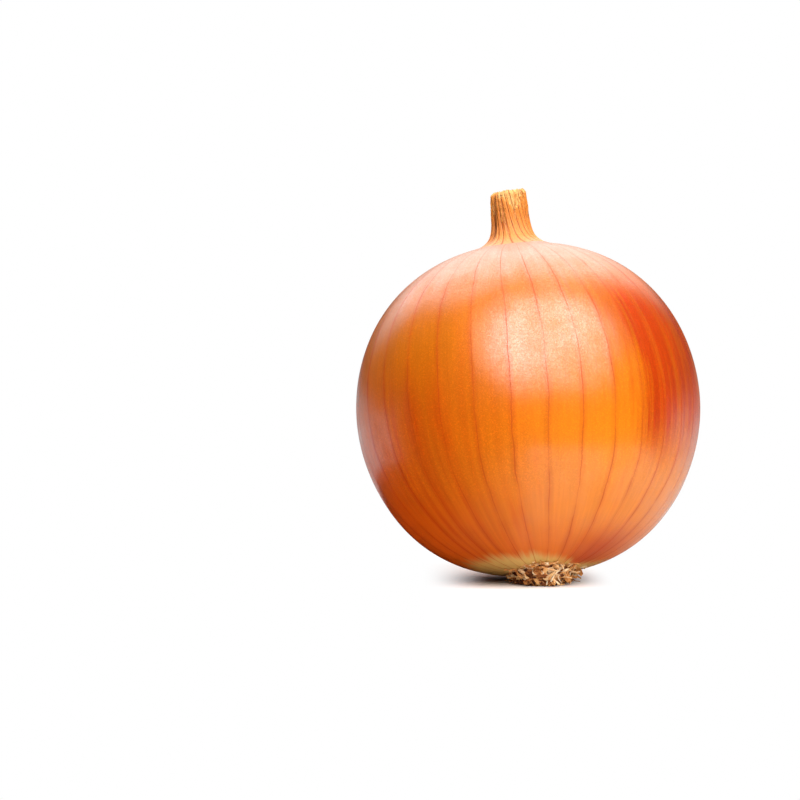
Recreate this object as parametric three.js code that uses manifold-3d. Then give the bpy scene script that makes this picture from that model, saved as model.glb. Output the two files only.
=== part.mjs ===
// A whole brown-skinned onion that stands on its trimmed root tuft, leaning a little.
// Millimetres, +Z up. The origin is where the bulb's axis meets the surface that the onion stands on.
// Each piece is shaped about its own upright axis, with height 0 at the bulb's widest level, and then leant.
import * as THREE from "three";
import { mergeVertices } from "three/addons/utils/BufferGeometryUtils.js";
import Module from "manifold-3d";

// Bulb: each half of its outline is a superellipse, (r / R)^a + (z / H)^b = 1
const BULB_RADIUS = 40;
const SHOULDER = { rise: 38.4, radiusPower: 2.23, heightPower: 2.04 };
const BASE = { rise: 39.1, radiusPower: 2.37, heightPower: 1.93 };
const OUTLINE_STEPS = 15;

// Veins: meridian ridges of the dry skin, unevenly spaced, each a little swayed
const VEIN_COUNT = 32;
const VEIN_START = THREE.MathUtils.degToRad(-108);
const VEIN_UNEVENNESS = 0.22;
const VEIN_HEIGHT = 0.22;
const VEIN_SWAY = 0.025;
const GORE_COLUMNS = [0, 0.22, 0.78];

// Neck: the dried leaf sheaths, drawn together and cut off
const NECK_RADIUS = 4.75;
const NECK_FOOT_RADIUS = 11.9;
const NECK_TOP = 51.4;
const NECK_FLARE_FALL = 1.55;
const NECK_SEAT_DEPTH = 5.5;
const NECK_BEND = 1.0;
const NECK_TAPER = 0.6;
const RIB_COUNT = 16;
const RIB_HEIGHT = 0.3;
const RIB_TWIST = 0.035;
const RIB_SEGMENTS = 4;
const FOLD = { angle: THREE.MathUtils.degToRad(208), halfWidth: 0.2, depth: 0.9 };
const CUT_SLANT = 0.07;
const CUT_SLANT_REACH = 4;

// Levels of the neck's side above its foot, then the cut sheaths: shares of its radius, drops below its top
const NECK_LEVELS = [0.35, 0.8, 1.5, 2.5, 4, 6, 8.4, 11, 13, 14];
const CUT_RINGS = [
  { share: 0.88, drop: 0 },
  { share: 0.74, drop: 0.8 },
  { share: 0.6, drop: 0.1 },
  { share: 0.44, drop: 1.0 },
  { share: 0.3, drop: 0.3 },
  { share: 0.14, drop: 1.4 },
  { share: 0, drop: 1.4 },
];

// Root tuft: an oval plate of cork in rings of trimmed, curled root stubs
const PLATE_RADIUS = 7.9;
const PLATE_OVAL = 1.4;
const PLATE_FOOT_SHARE = 0.92;
const PLATE_COLUMNS = 40;
const PLATE_OVERRUN = 3;
const PLATE_LOBES = [
  { count: 5, height: 0.05 },
  { count: 9, height: 0.03 },
];

// Stubs: each ring leaves the plate at a level above the surface, at an angle to straight down, for a length
const STUB_WIDTH = 2.1;
const STUB_THICKNESS = 1.0;
const STUB_SUNK = 1.5;
const STUB_STEPS = 3;
const STUB_RINGS = [
  { count: 24, level: 2.3, spread: 1.55, length: 2.5 },
  { count: 24, level: 1.6, spread: 1.2, length: 2.2 },
  { count: 22, level: 0.9, spread: 0.75, length: 2.0 },
];
const STUB_VARIETY = { step: 0.7, spread: 0.5, length: 0.6, bow: 1, hook: 2.4, droop: 0.8 };

// Stance and clearance
const LEAN_LEFT = THREE.MathUtils.degToRad(4.5);
const LEAN_BACK = THREE.MathUtils.degToRad(8.5);
const REST_DEPTH = 40.75;
const GAP = 0.3;
const CLEARANCE_COLUMNS = 60;

const SKIN = { color: 0xe27d22, roughness: 0.4, metalness: 0 };
const STRAW = { color: 0xcd8f45, roughness: 0.75, metalness: 0 };
const CORK = { color: 0x9c6b3d, roughness: 0.9, metalness: 0 };

const wasm = await Module();
wasm.setup();

// A value from 0 to 1 that looks random but is the same on every run.
function draw(index, salt) {
  const wave = Math.sin(index * 12.9898 + salt * 78.233) * 43758.5453;
  return wave - Math.floor(wave);
}

// A point of the bulb's outline: angle 0 is the widest level and a quarter turn is the pole.
function outlinePoint(angle, half, side) {
  const radius = BULB_RADIUS * Math.cos(angle) ** (2 / half.radiusPower);
  const height = half.rise * Math.sin(angle) ** (2 / half.heightPower);
  return new THREE.Vector2(radius, side * height);
}

// The outline's angle at which a half of the bulb has narrowed to a radius.
function outlineAngle(radius, half) {
  return Math.acos((radius / BULB_RADIUS) ** (half.radiusPower / 2));
}

const NECK_FOOT_ANGLE = outlineAngle(NECK_FOOT_RADIUS, SHOULDER);
const NECK_FOOT = outlinePoint(NECK_FOOT_ANGLE, SHOULDER, 1);

// Spins a profile about Z, then moves each point: shape(column, radius, height) gives its place.
function turned(profile, columns, shape) {
  const geometry = new THREE.LatheGeometry(profile, columns);
  const position = geometry.attributes.position;
  for (let i = 0; i < position.count; i++) {
    const column = Math.floor(i / profile.length) % columns;
    const { x: radius, y: height } = profile[i % profile.length];
    const place = shape(column, radius, height);
    position.setXYZ(i, place.x, place.y, place.z);
  }
  return geometry;
}

function polar(angle, radius, height) {
  return new THREE.Vector3(radius * Math.cos(angle), radius * Math.sin(angle), height);
}

// Bulb

// The angle of a vein: even steps that close up and open out twice round the bulb.
function veinAngle(vein) {
  const step = (2 * Math.PI) / VEIN_COUNT;
  const shift = VEIN_UNEVENNESS * Math.sin(2 * step * (vein + 0.5));
  return VEIN_START + step * (vein + shift);
}

// Between two veins the skin is a plain gore, and each vein is a low ridge that fades out at both ends.
function bulbShape(column, radius, height) {
  const gore = Math.floor(column / GORE_COLUMNS.length);
  const share = GORE_COLUMNS[column % GORE_COLUMNS.length];
  const straight = THREE.MathUtils.lerp(veinAngle(gore), veinAngle(gore + 1), share);
  const sway = VEIN_SWAY * Math.sin((2.5 * height) / BULB_RADIUS) * Math.sin(3 * straight);
  const along = (height + BASE.rise) / (NECK_FOOT.y + BASE.rise);
  const fade = Math.max(0, Math.sin(Math.PI * along));
  const ridge = share === 0 ? VEIN_HEIGHT * fade : 0;
  return polar(straight + sway, radius === 0 ? 0 : radius + ridge, height);
}

// The outline from the base's pole up to the neck's foot, then down a cone that the neck sits in.
function bulbProfile() {
  const points = [new THREE.Vector2(0, -BASE.rise)];
  for (let i = OUTLINE_STEPS - 1; i > 0; i--) {
    points.push(outlinePoint((i / OUTLINE_STEPS) * (Math.PI / 2), BASE, -1));
  }
  for (let i = 0; i <= OUTLINE_STEPS; i++) {
    points.push(outlinePoint((i / OUTLINE_STEPS) * NECK_FOOT_ANGLE, SHOULDER, 1));
  }
  points.push(new THREE.Vector2(0, NECK_FOOT.y - NECK_SEAT_DEPTH));
  return points;
}

function bulbGeometry() {
  return turned(bulbProfile(), VEIN_COUNT * GORE_COLUMNS.length, bulbShape);
}

// Neck

// The neck's radius: a stalk with a flare that runs out along the shoulder.
function neckRadius(height) {
  const above = height - NECK_FOOT.y;
  const flare = (NECK_FOOT_RADIUS - NECK_RADIUS) * Math.exp(-above / NECK_FLARE_FALL);
  return NECK_RADIUS + flare - NECK_TAPER * (above / (NECK_TOP - NECK_FOOT.y));
}

// The underside cone, the flared side, a rounded rim, and the cut sheaths as rings round a hollow.
function neckProfile() {
  const edge = NECK_FOOT.y + GAP / 3;
  const rim = neckRadius(NECK_TOP);
  const points = [new THREE.Vector2(0, edge - NECK_SEAT_DEPTH + GAP)];
  points.push(new THREE.Vector2(neckRadius(edge) - GAP, edge));
  for (const level of NECK_LEVELS) {
    const height = NECK_FOOT.y + level;
    points.push(new THREE.Vector2(neckRadius(height), height));
  }
  for (const { share, drop } of CUT_RINGS) {
    points.push(new THREE.Vector2(rim * share, NECK_TOP - drop));
  }
  return points;
}

// Ribs and one deep fold run up the stalk. It bends to the left, and its cut end is not quite square.
function neckShape(column, radius, height) {
  const angle = (2 * Math.PI * column) / (RIB_COUNT * RIB_SEGMENTS);
  const above = Math.max(0, height - NECK_FOOT.y);
  const grown = 1 - Math.exp(-above / (2 * NECK_FLARE_FALL));
  const share = Math.min(1, radius / NECK_RADIUS);
  const uneven = 0.7 + 0.3 * Math.cos(3 * angle + 1);
  const rib = RIB_HEIGHT * uneven * Math.cos(RIB_COUNT * (angle + RIB_TWIST * above));
  const fold = FOLD.depth * Math.exp(-(((angle - FOLD.angle) / FOLD.halfWidth) ** 2));
  const place = polar(angle, radius + share * grown * (rib - fold), height);
  const nearTop = THREE.MathUtils.smoothstep(height, NECK_TOP - CUT_SLANT_REACH, NECK_TOP);
  place.z += nearTop * CUT_SLANT * place.x;
  place.x -= NECK_BEND * grown;
  return place;
}

function neckGeometry() {
  return turned(neckProfile(), RIB_COUNT * RIB_SEGMENTS, neckShape);
}

// Root tuft

// A closed mesh as a solid that can be joined and cut.
function solidOf(geometry) {
  geometry.deleteAttribute("normal");
  geometry.deleteAttribute("uv");
  const merged = mergeVertices(geometry);
  const vertProperties = merged.attributes.position.array;
  const triVerts = new Uint32Array(merged.index.array);
  return new wasm.Manifold(new wasm.Mesh({ numProp: 3, vertProperties, triVerts }));
}

function geometryOf(solid) {
  const mesh = solid.getMesh();
  const geometry = new THREE.BufferGeometry();
  geometry.setAttribute("position", new THREE.BufferAttribute(mesh.vertProperties, 3));
  geometry.setIndex(new THREE.BufferAttribute(mesh.triVerts, 1));
  geometry.computeVertexNormals();
  return geometry;
}

// The cork plate: oval, lobed, a little narrower at its foot, from inside the bulb to below the surface.
function plateGeometry() {
  const foot = -REST_DEPTH - PLATE_OVERRUN;
  const top = -BASE.rise + PLATE_OVERRUN;
  const profile = [
    new THREE.Vector2(0, foot),
    new THREE.Vector2(PLATE_RADIUS * PLATE_FOOT_SHARE, foot),
    new THREE.Vector2(PLATE_RADIUS, top),
    new THREE.Vector2(0, top),
  ];
  return turned(profile, PLATE_COLUMNS, (column, radius, height) => {
    const angle = (2 * Math.PI * column) / PLATE_COLUMNS;
    const lobes = PLATE_LOBES.map((lobe) => lobe.height * Math.sin(lobe.count * angle));
    const place = polar(angle, radius * (1 + lobes[0] + lobes[1]), height);
    place.y *= PLATE_OVAL;
    return place;
  });
}

// One root stub: a flat strip that leaves the plate outwards and down, curls, and ends bluntly.
function stubGeometry(index, { count, level, spread, length }, ringIndex) {
  const salt = ringIndex + 1;
  const angle = (2 * Math.PI * (index + STUB_VARIETY.step * draw(index, salt))) / count;
  const tilt = spread + STUB_VARIETY.spread * (draw(index, salt + 10) - 0.5);
  const reach = length * (1 + STUB_VARIETY.length * (draw(index, salt + 20) - 0.5));
  const outwards = polar(angle, 1, 0).setY(PLATE_OVAL * Math.sin(angle)).normalize();
  const sideways = new THREE.Vector3(-outwards.y, outwards.x, 0);
  const down = new THREE.Vector3(0, 0, -1);
  const start = polar(angle, PLATE_RADIUS, -REST_DEPTH + level);
  start.y *= PLATE_OVAL;
  const way = outwards.clone().multiplyScalar(Math.sin(tilt)).addScaledVector(down, Math.cos(tilt));
  const root = start.clone().addScaledVector(way, -STUB_SUNK);
  const middle = start.clone().addScaledVector(way, reach / 2);
  middle.addScaledVector(sideways, STUB_VARIETY.bow * (draw(index, salt + 30) - 0.5));
  const end = start.clone().addScaledVector(way, reach);
  end.addScaledVector(sideways, STUB_VARIETY.hook * (draw(index, salt + 40) - 0.5));
  end.addScaledVector(down, STUB_VARIETY.droop * draw(index, salt + 50));
  const section = new THREE.Shape([
    new THREE.Vector2(-STUB_THICKNESS / 2, 0),
    new THREE.Vector2(0, -STUB_WIDTH / 2),
    new THREE.Vector2(STUB_THICKNESS / 2, 0),
    new THREE.Vector2(0, STUB_WIDTH / 2),
  ]);
  return new THREE.ExtrudeGeometry(section, {
    steps: STUB_STEPS,
    bevelEnabled: false,
    extrudePath: new THREE.QuadraticBezierCurve3(root, middle, end),
  });
}

// The bulb's own outline, grown by the gap, which keeps the tuft clear of it. The veins have faded out there.
function bulbClearance() {
  const grow = 1 + GAP / BULB_RADIUS;
  return turned(bulbProfile(), CLEARANCE_COLUMNS, (column, radius, height) => {
    const angle = (2 * Math.PI * column) / CLEARANCE_COLUMNS;
    return polar(angle, radius * grow, height * grow);
  });
}

// Plate and stubs fused, cut clear of the bulb, and trimmed flat where the onion stands.
function tuftGeometry(stance) {
  const stubs = STUB_RINGS.flatMap((ring, ringIndex) =>
    Array.from({ length: ring.count }, (_, index) => stubGeometry(index, ring, ringIndex)),
  );
  const pieces = [plateGeometry(), ...stubs];
  const fused = wasm.Manifold.union(pieces.map((piece) => solidOf(piece.applyMatrix4(stance))));
  const bulb = solidOf(bulbClearance().applyMatrix4(stance));
  const below = new THREE.BoxGeometry(4 * BULB_RADIUS, 4 * BULB_RADIUS, BULB_RADIUS);
  const ground = solidOf(below.translate(0, 0, -BULB_RADIUS / 2));
  const bodies = fused.subtract(bulb).subtract(ground).decompose();
  bodies.sort((a, b) => b.volume() - a.volume());
  return geometryOf(bodies[0]);
}

// Assembly

function named(name, geometry, finish) {
  const mesh = new THREE.Mesh(geometry, new THREE.MeshStandardMaterial(finish));
  mesh.name = name;
  return mesh;
}

const onion = new THREE.Group();
const leaning = new THREE.Group();
leaning.rotation.set(-LEAN_BACK, -LEAN_LEFT, 0);
leaning.updateMatrix();
const stance = leaning.matrix.clone().multiply(new THREE.Matrix4().makeTranslation(0, 0, REST_DEPTH));

for (const piece of [named("bulb", bulbGeometry(), SKIN), named("neck", neckGeometry(), STRAW)]) {
  piece.position.z = REST_DEPTH;
  leaning.add(piece);
}
onion.add(leaning);
onion.add(named("root_tuft", tuftGeometry(stance), CORK));

export default onion;
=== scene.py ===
# %% [markdown]
# # A brown onion on its root end
# A whole onion is three things: a globe of dry, veined skin, a neck of dried leaf sheaths that was cut off,
# and a tuft of trimmed roots that it stands on. Their plain solids are loaded first, as a fixed frame in
# metres with +Z up. Each solid is then replaced by a finer surface of the same form and in the same place.

# %% Load the frame
import math
from types import SimpleNamespace

import bpy
import numpy as np
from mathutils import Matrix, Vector


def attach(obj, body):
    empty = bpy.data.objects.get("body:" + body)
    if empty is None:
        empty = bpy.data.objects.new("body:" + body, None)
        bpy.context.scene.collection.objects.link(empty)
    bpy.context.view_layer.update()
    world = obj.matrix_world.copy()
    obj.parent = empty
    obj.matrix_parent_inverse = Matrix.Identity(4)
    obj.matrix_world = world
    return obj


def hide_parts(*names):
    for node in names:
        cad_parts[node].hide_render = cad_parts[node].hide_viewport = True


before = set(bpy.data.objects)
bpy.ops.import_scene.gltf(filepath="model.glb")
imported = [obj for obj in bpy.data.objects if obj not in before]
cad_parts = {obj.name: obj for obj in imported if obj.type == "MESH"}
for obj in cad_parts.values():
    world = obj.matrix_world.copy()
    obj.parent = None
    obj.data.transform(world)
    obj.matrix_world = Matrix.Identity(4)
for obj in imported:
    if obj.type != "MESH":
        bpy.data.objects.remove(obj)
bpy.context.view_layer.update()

# %% [markdown]
# ## How the onion stands
# The three pieces are shaped about one upright axis, with height 0 at the bulb's widest level. The real
# onion leans: its top goes a little to the left and back. One function stands every point, so all pieces
# lean as one and no object needs a rotation of its own.

# %% The stance
MM = 0.001
REST_DEPTH = 40.75 * MM
LEAN_LEFT = math.radians(4.5)
LEAN_BACK = math.radians(8.5)


def turned_about(axis, angle):
    """The matrix of a right-handed turn about axis 0 (X), 1 (Y) or 2 (Z)."""
    matrix = np.eye(3)
    first, second = (axis + 1) % 3, (axis + 2) % 3
    matrix[first, first] = matrix[second, second] = math.cos(angle)
    matrix[second, first] = math.sin(angle)
    matrix[first, second] = -math.sin(angle)
    return matrix


STANCE = turned_about(0, -LEAN_BACK) @ turned_about(1, -LEAN_LEFT)


def stood(points):
    """Points about the onion's own axis, lifted to rest on the ground and then leant about the origin."""
    return (points + np.array([0, 0, REST_DEPTH])) @ STANCE.T


BULB_CENTRE = stood(np.zeros(3))
print("bulb centre:", BULB_CENTRE.round(4))

# %% [markdown]
# ## The camera
# The onion fills the right half of a square picture, seen from a little above the table with a long lens.
# A long lens far away keeps the globe round. The picture is 800 pixels wide, so the width of the view at
# the onion follows from how many pixels the bulb spans. The camera aims at the picture's middle, which lies
# left of the onion, and needs no lens shift.

# %% Place the camera
PICTURE = 800
BULB_SPAN = 343
BULB_AT = (527.8, 408)
BULB_RADIUS = 40 * MM
CAMERA_DISTANCE = 0.9
CAMERA_RISE = math.radians(2.5)

pixel = 2 * BULB_RADIUS / BULB_SPAN
back = np.array([0, -math.cos(CAMERA_RISE), math.sin(CAMERA_RISE)])
picture_up = np.array([0, math.sin(CAMERA_RISE), math.cos(CAMERA_RISE)])
picture_right = np.array([1, 0, 0])
aim = BULB_CENTRE - picture_right * (BULB_AT[0] - PICTURE / 2) * pixel
aim = aim + picture_up * (BULB_AT[1] - PICTURE / 2) * pixel

lens = bpy.data.cameras.new("camera")
lens.sensor_width = 36
lens.lens = lens.sensor_width * CAMERA_DISTANCE / (PICTURE * pixel)
camera = bpy.data.objects.new("camera", lens)
camera.location = aim + back * CAMERA_DISTANCE
camera.rotation_mode = "QUATERNION"
camera.rotation_quaternion = Vector(-back).to_track_quat("-Z", "Y")
bpy.context.scene.collection.objects.link(camera)
bpy.context.scene.camera = camera
print("lens:", round(lens.lens, 1), "mm")

# %% [markdown]
# ## Shader maths in plain Python
# A material is a network of small nodes. Written one by one they hide the idea, so a number socket is
# wrapped in a class whose operators add Math nodes. Then `1 - mask` or `0.5 * grain + 0.2` can be written
# as it is meant. One method adds any other node from its type, its settings and its sockets.


# %% Sockets that can be calculated with
class Number:
    """A number socket of a node tree. Each operator adds one Math node and gives its result."""

    def __init__(self, nodes, socket):
        self.nodes = nodes
        self.socket = socket

    def __add__(self, other):
        return self.nodes.math("ADD", self, other)

    __radd__ = __add__

    def __sub__(self, other):
        return self.nodes.math("SUBTRACT", self, other)

    def __rsub__(self, other):
        return self.nodes.math("SUBTRACT", other, self)

    def __mul__(self, other):
        return self.nodes.math("MULTIPLY", self, other)

    __rmul__ = __mul__

    def __truediv__(self, other):
        return self.nodes.math("DIVIDE", self, other)

    def __pow__(self, power):
        return self.nodes.math("POWER", self, power)


class Nodes:
    """A node tree being written."""

    def __init__(self, tree):
        self.tree = tree
        tree.nodes.clear()

    def node(self, kind, settings=None, sockets=None):
        """Adds one node: its type, its settings, which are set first, and its sockets' values or links."""
        made = self.tree.nodes.new(kind)
        for name, value in (settings or {}).items():
            if name == "stops":
                self.set_stops(made.color_ramp, value)
            else:
                setattr(made, name, value)
        for key, value in (sockets or {}).items():
            value = value.socket if isinstance(value, Number) else value
            if isinstance(value, bpy.types.NodeSocket):
                self.tree.links.new(value, made.inputs[key])
            else:
                made.inputs[key].default_value = value
        return made

    def set_stops(self, ramp, stops):
        """Gives a colour ramp its stops, each a place from 0 to 1 and a colour."""
        while len(ramp.elements) < len(stops):
            ramp.elements.new(1.0)
        for element, (place, colour) in zip(ramp.elements, stops):
            element.position = place
            element.color = colour

    def math(self, operation, *values):
        made = self.node("ShaderNodeMath", {"operation": operation}, dict(enumerate(values)))
        return Number(self, made.outputs[0])

    def smooth(self, value, low, high):
        """0 where the value is at low, 1 where it is at high, and an S-curve between them."""
        sockets = {"Value": value, "From Min": low, "From Max": high}
        made = self.node("ShaderNodeMapRange", {"interpolation_type": "SMOOTHSTEP"}, sockets)
        return Number(self, made.outputs[0])

    def noise(self, vector, scale, detail=2.0, distortion=0.0):
        sockets = {"Vector": vector, "Scale": scale, "Detail": detail, "Distortion": distortion}
        made = self.node("ShaderNodeTexNoise", {}, sockets)
        return Number(self, made.outputs[0])

    def vector(self, x, y, z):
        return self.node("ShaderNodeCombineXYZ", {}, {0: x, 1: y, 2: z}).outputs[0]

    def split(self, vector):
        made = self.node("ShaderNodeSeparateXYZ", {}, {0: vector})
        return [Number(self, socket) for socket in made.outputs]

    def attribute(self, name):
        return Number(self, self.node("ShaderNodeAttribute", {"attribute_name": name}).outputs["Fac"])

    def place(self):
        return self.node("ShaderNodeTexCoord").outputs["Object"]

    def mix(self, under, over, share):
        """One colour over another, by a share from 0 to 1."""
        made = self.node("ShaderNodeMix", {"data_type": "RGBA"}, {0: share, 6: under, 7: over})
        return made.outputs[2]

    def brighten(self, colour, factor):
        settings = {"operation": "SCALE"}
        return self.node("ShaderNodeVectorMath", settings, {0: colour, 3: factor}).outputs[0]

    def ramp(self, stops, share):
        """A colour from a ramp, at a share from 0 to 1."""
        return self.node("ShaderNodeValToRGB", {"stops": stops}, {0: share}).outputs[0]

    def bump(self, height):
        """The direction of a surface whose relief has a height in metres."""
        sockets = {"Height": height, "Distance": 1.0, "Strength": 1.0}
        return self.node("ShaderNodeBump", {}, sockets).outputs[0]

    def blend(self, under, over, share):
        """One surface or light over another, by a share from 0 to 1."""
        sockets = {0: share, 1: under.outputs[0], 2: over.outputs[0]}
        return self.node("ShaderNodeMixShader", {}, sockets)

    def end_material(self, surface):
        self.node("ShaderNodeOutputMaterial", {}, {"Surface": surface.outputs[0]})


def new_material(name):
    """A material, and its node tree, still empty."""
    material = bpy.data.materials.new(name)
    material.use_nodes = True
    return material, Nodes(material.node_tree)


def paint(red, green, blue):
    """A colour as a painter reads it from a screen, 0 to 255, as the light values that a shader needs."""
    shares = np.array([red, green, blue]) / 255
    light = np.where(shares <= 0.04045, shares / 12.92, ((shares + 0.055) / 1.055) ** 2.4)
    return (*light.tolist(), 1.0)


print("a mid grey reads", paint(128, 128, 128))

# %% [markdown]
# ## The studio
# The onion stands on a small white sweep in front of a white backdrop. Two windows light it. The larger, in
# front, above and a little to the right, makes the broad pale patch on the skin. The other, overhead and
# behind, makes the pale shoulder. Everything else towards the camera is dark, so the skin keeps its full
# colour between them, and the table behind gives the lower half its faint sheen. Lamps would leave patches
# with hard edges, so the windows are part of the surroundings, where their edges can fade.

# %% White surroundings with two soft windows
BACKDROP_LIGHT = 0.04
FRONT_LIGHT = 0.01
TABLE_LIGHT = 0.8
BACKDROP_EDGE = (-0.1, 0.6)
TABLE_EDGE = (0.0, 0.4)
HORIZON = (0.08, -0.11)
WINDOW_LIMIT = (0.05, 0.2)
KEY_WINDOW = {
    "middle": (0.18, -0.60, 0.78),
    "half_size": (0.70, 0.52),
    "softness": 0.44,
    "brightness": 8.6,
}
TOP_WINDOW = {
    "middle": (-0.10, 0.62, 0.78),
    "half_size": (0.60, 0.60),
    "softness": 0.40,
    "brightness": 3.8,
}

scene = bpy.context.scene
scene.view_settings.view_transform = "Standard"
scene.view_settings.look = "None"
world = bpy.data.worlds.new("studio")
world.use_nodes = True
scene.world = world
studio = Nodes(world.node_tree)
towards = studio.split(studio.node("ShaderNodeTexCoord").outputs["Generated"])


def soft_window(middle, half_size, softness, brightness):
    """The light that a window with soft edges sends from each direction.

    A direction d lies at (d.r / d.m, d.u / d.m) on the window, where m points at its middle, r to its right
    and u up it."""
    middle = np.array(middle) / np.linalg.norm(middle)
    right = np.cross(middle, [0, 0, 1])
    right = right / np.linalg.norm(right)
    up = np.cross(right, middle)

    def along(axis):
        return sum(part * share for part, share in zip(towards, axis.tolist()))

    ahead = along(middle)
    light = brightness * studio.smooth(ahead, *WINDOW_LIMIT)
    for axis, half in zip([right, up], half_size):
        away = studio.math("ABSOLUTE", along(axis) / ahead)
        light = light * studio.smooth(away, half + softness, half - softness)
    return light


backwards, upwards = towards[1:]
lit = FRONT_LIGHT + (BACKDROP_LIGHT - FRONT_LIGHT) * studio.smooth(backwards, *BACKDROP_EDGE)
lit = lit + TABLE_LIGHT * studio.smooth(backwards, *TABLE_EDGE) * studio.smooth(upwards, *HORIZON)
lit = lit + soft_window(**KEY_WINDOW) + soft_window(**TOP_WINDOW)
surround = studio.node("ShaderNodeBackground", {}, {"Strength": lit})
white = studio.node("ShaderNodeBackground", {}, {"Color": (1, 1, 1, 1), "Strength": 1.0})
seen = studio.node("ShaderNodeLightPath").outputs["Is Camera Ray"]
shown = studio.blend(surround, white, seen)
studio.node("ShaderNodeOutputWorld", {}, {"Surface": shown.outputs[0]})
print("windows as bright as", KEY_WINDOW["brightness"], "and", TOP_WINDOW["brightness"])

# %% [markdown]
# ## The sweep
# The sweep is a round sheet of white paper. The camera sees it plain white, and only the shadow at the root
# tuft shows on it: past both sides of that shadow the paper glows for the camera, a painted light that cuts
# the shadow off. The light that it throws back on the onion is toned: warm from the left, like an amber card
# held there, and weak where the skin would mirror it. A real studio does this with cards and flags. Here the
# paper's colour depends on the kind of ray that meets it, and nothing more has to stand about.

# %% The white sweep
SWEEP_RADIUS = 0.125
SWEEP_CENTRE = np.array([0.02, 0.005, 0])
SEEN_PAPER = paint(250, 249, 248)
LIT_PAPER = paint(218, 216, 214)
CARD = paint(195, 118, 45)
CARD_EDGE = (-0.006, -0.04)
MIRRORED_PAPER = paint(20, 16, 14)
MIRRORED_LEAST = 0.5
MIRRORED_EDGE = (-0.004, -0.012)
SHADOW_RIGHT = (0.005, 0.017)
SHADOW_LEFT = (-0.012, -0.028)
SWEEP_SIDES = 96

angles = np.linspace(0, 2 * math.pi, SWEEP_SIDES, endpoint=False)
rim = SWEEP_CENTRE + SWEEP_RADIUS * np.stack([np.cos(angles), np.sin(angles), 0 * angles], -1)
sweep_mesh = bpy.data.meshes.new("floor")
sweep_mesh.from_pydata(rim.tolist(), [], [list(range(SWEEP_SIDES))])
sweep = bpy.data.objects.new("floor", sweep_mesh)
scene.collection.objects.link(sweep)
paper, sheet = new_material("white_paper")
path = sheet.node("ShaderNodeLightPath").outputs
sideways = sheet.split(sheet.place())[0]
dimmed = MIRRORED_LEAST + (1 - MIRRORED_LEAST) * sheet.smooth(sideways, *MIRRORED_EDGE)
mirrored = dimmed * Number(sheet, path["Is Glossy Ray"])
colour = sheet.mix(LIT_PAPER, CARD, sheet.smooth(sideways, *CARD_EDGE))
colour = sheet.mix(colour, MIRRORED_PAPER, mirrored)
colour = sheet.mix(colour, SEEN_PAPER, path["Is Camera Ray"])
matt = sheet.node("ShaderNodeBsdfDiffuse", {}, {"Color": colour})
# For the camera the paper glows past both sides of the shadow: painted light that cuts the shadow off there.
glow = sheet.node("ShaderNodeEmission", {}, {"Color": (1, 1, 1, 1)})
past_shadow = sheet.smooth(sideways, *SHADOW_RIGHT) + sheet.smooth(sideways, *SHADOW_LEFT)
upper_side = sheet.blend(matt, glow, past_shadow * Number(sheet, path["Is Camera Ray"]))
clear = sheet.node("ShaderNodeBsdfTransparent")
from_below = sheet.node("ShaderNodeNewGeometry").outputs["Backfacing"]
sheet.end_material(sheet.blend(upper_side, clear, from_below))
sweep_mesh.materials.append(paper)
print("sweep:", 2 * SWEEP_RADIUS, "m across")

# %% [markdown]
# ## Meshes from grids of numbers
# Bulb, neck and root plate are all round, so each is a grid: rows climb or run inwards, and columns go once
# round. numpy works out all points of such a grid at once. The last column joins the first, and a single
# point closes each end, so the mesh is a closed body with its faces outwards.

# %% Closed bodies from rings of points
UV_NAME = "OFBake"


def closed_body(name, rings, start, end, turns, levels):
    """A mesh through rings of points, shaped (rows, columns, 3), from a start point to an end point.

    The UV map has across the share of a turn, one for each column and one that closes the turn, and upwards
    the level of each row."""
    rows, columns = rings.shape[:2]
    points = np.concatenate([rings.reshape(-1, 3), [start, end]])
    row, column = np.meshgrid(np.arange(rows - 1), np.arange(columns), indexing="ij")
    after = (column + 1) % columns
    corners = [row * columns + column, row * columns + after]
    corners += [(row + 1) * columns + after, (row + 1) * columns + column]
    quads = np.stack(corners, -1).reshape(-1, 4)
    ring = np.arange(columns)
    following = np.roll(ring, -1)
    last = (rows - 1) * columns
    first_fan = np.stack([np.full(columns, rows * columns), following, ring], -1)
    last_fan = np.stack([last + ring, last + following, np.full(columns, rows * columns + 1)], -1)
    mesh = bpy.data.meshes.new(name)
    mesh.from_pydata(points.tolist(), [], quads.tolist() + first_fan.tolist() + last_fan.tolist())

    left, right = turns[column], turns[column + 1]
    low, high = levels[:-1][row], levels[1:][row]
    quad_map = np.stack([left, low, right, low, right, high, left, high], -1)
    flat = np.ones(columns)
    here, there = turns[:-1], turns[1:]
    middle = (here + there) / 2
    first_map = np.stack([middle, 0 * flat, there, levels[0] * flat, here, levels[0] * flat], -1)
    last_map = np.stack([here, levels[-1] * flat, there, levels[-1] * flat, middle, flat], -1)
    unwrapped = mesh.uv_layers.new(name=UV_NAME)
    places = np.concatenate([quad_map.ravel(), first_map.ravel(), last_map.ravel()])
    unwrapped.uv.foreach_set("vector", places.astype(np.float32))
    return mesh


def add_values(mesh, name, values):
    """Stores one number for each point of a mesh, for its material to read."""
    layer = mesh.attributes.new(name, "FLOAT", "POINT")
    layer.data.foreach_set("value", np.asarray(values, np.float32).ravel())


def add_piece(mesh, material, smooth=True):
    """Makes a mesh a piece of the onion, which rides on its body and takes the given material."""
    mesh.polygons.foreach_set("use_smooth", np.full(len(mesh.polygons), smooth))
    mesh.materials.append(material)
    piece = bpy.data.objects.new(mesh.name, mesh)
    scene.collection.objects.link(piece)
    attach(piece, "root")
    print(mesh.name, "has", len(mesh.polygons), "faces")
    return piece


def smoothstep(low, high, values):
    """0 below low, 1 above high, and an S-curve between them."""
    share = np.clip((values - low) / (high - low), 0, 1)
    return share * share * (3 - 2 * share)


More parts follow.
